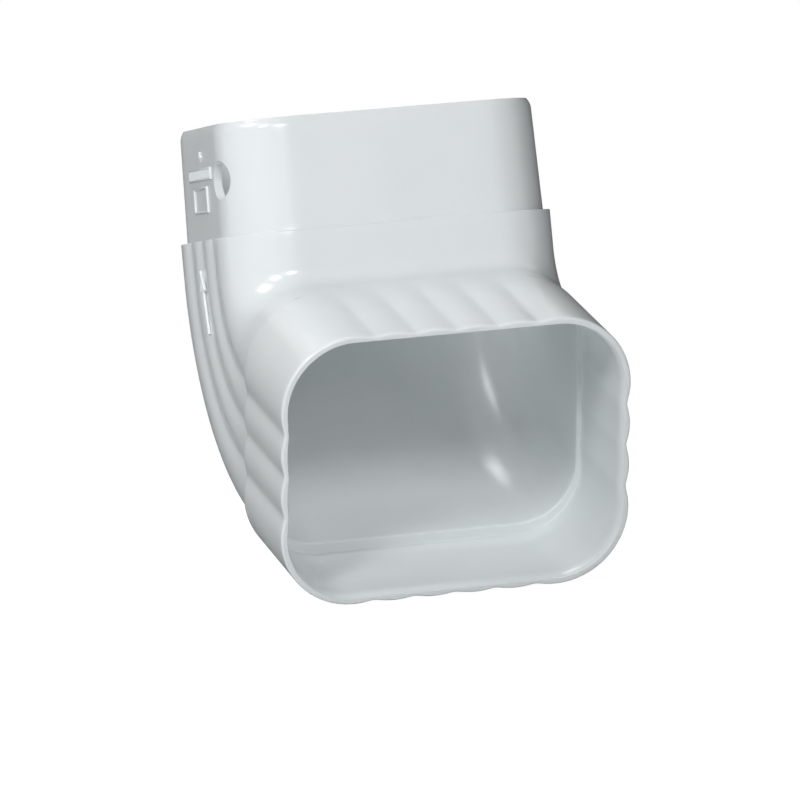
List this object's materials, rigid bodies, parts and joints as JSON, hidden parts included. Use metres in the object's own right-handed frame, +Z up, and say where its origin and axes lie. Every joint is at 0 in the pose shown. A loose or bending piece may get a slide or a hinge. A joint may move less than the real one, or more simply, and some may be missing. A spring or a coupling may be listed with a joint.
{
  "type": "downspout elbow",
  "caption": "White moulded downspout elbow: a plain spigot with a shoulder on top, a fluted bend towards the front and a fluted bell socket for the next pipe.",
  "frame": {"origin": "centre of the shoulder, where the pushed-on pipe stops around the spigot", "axes": "+Z up along the spigot, X across the wide side, the outlet turns towards -Y"},
  "size_m": [0.085, 0.1021, 0.1154],
  "materials": {
    "white_pvc": "semi-gloss moulded"
  },
  "bodies": {
    "root": {"elbow": "white_pvc"}
  },
  "joints": []
}
